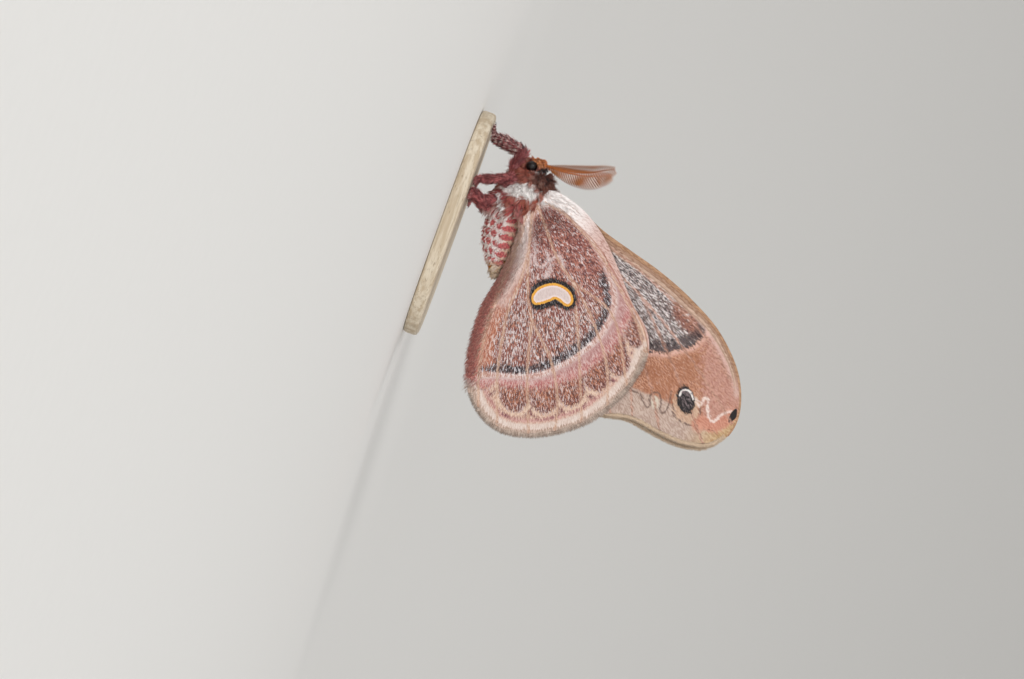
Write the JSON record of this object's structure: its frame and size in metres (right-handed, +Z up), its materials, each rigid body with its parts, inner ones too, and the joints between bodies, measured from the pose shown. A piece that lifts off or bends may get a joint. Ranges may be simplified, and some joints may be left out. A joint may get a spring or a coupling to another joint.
{
  "type": "epiphora silk moth model",
  "caption": "Life-size still model of an Epiphora silk moth at rest, wings closed upright over its back, on a flat stand.",
  "frame": {"origin": "middle of the stand base's underside, which the part rests on", "axes": "+Z up towards the wing tips, -X towards the head, -Y to the moth's left side"},
  "size_m": [0.0595, 0.03, 0.0689],
  "materials": {
    "stand": "pale smooth wood, plain",
    "body_fur": "dense red-brown fur with white and dark patches",
    "abdomen_fur": "short fur, white lattice with rose-red spots",
    "eye": "glossy near-black compound eye",
    "antenna": "rust-brown feathered antenna",
    "forewing_scales": "matt scales in tan, pink and speckled grey",
    "hindwing_scales": "matt scales in red-brown, white and pink with an eyespot",
    "leg": "rose-red leg scales"
  },
  "bodies": {
    "root": {"stand_base": "stand", "thorax": "body_fur", "head": "body_fur", "abdomen": "abdomen_fur", "eye_left": "eye", "eye_right": "eye", "antenna_left": "antenna", "antenna_right": "antenna", "forewing_left": "forewing_scales", "forewing_right": "forewing_scales", "hindwing_left": "hindwing_scales", "hindwing_right": "hindwing_scales", "foreleg_left": "leg", "foreleg_right": "leg", "midleg_left": "leg", "midleg_right": "leg", "hindleg_left": "leg", "hindleg_right": "leg"}
  },
  "joints": []
}
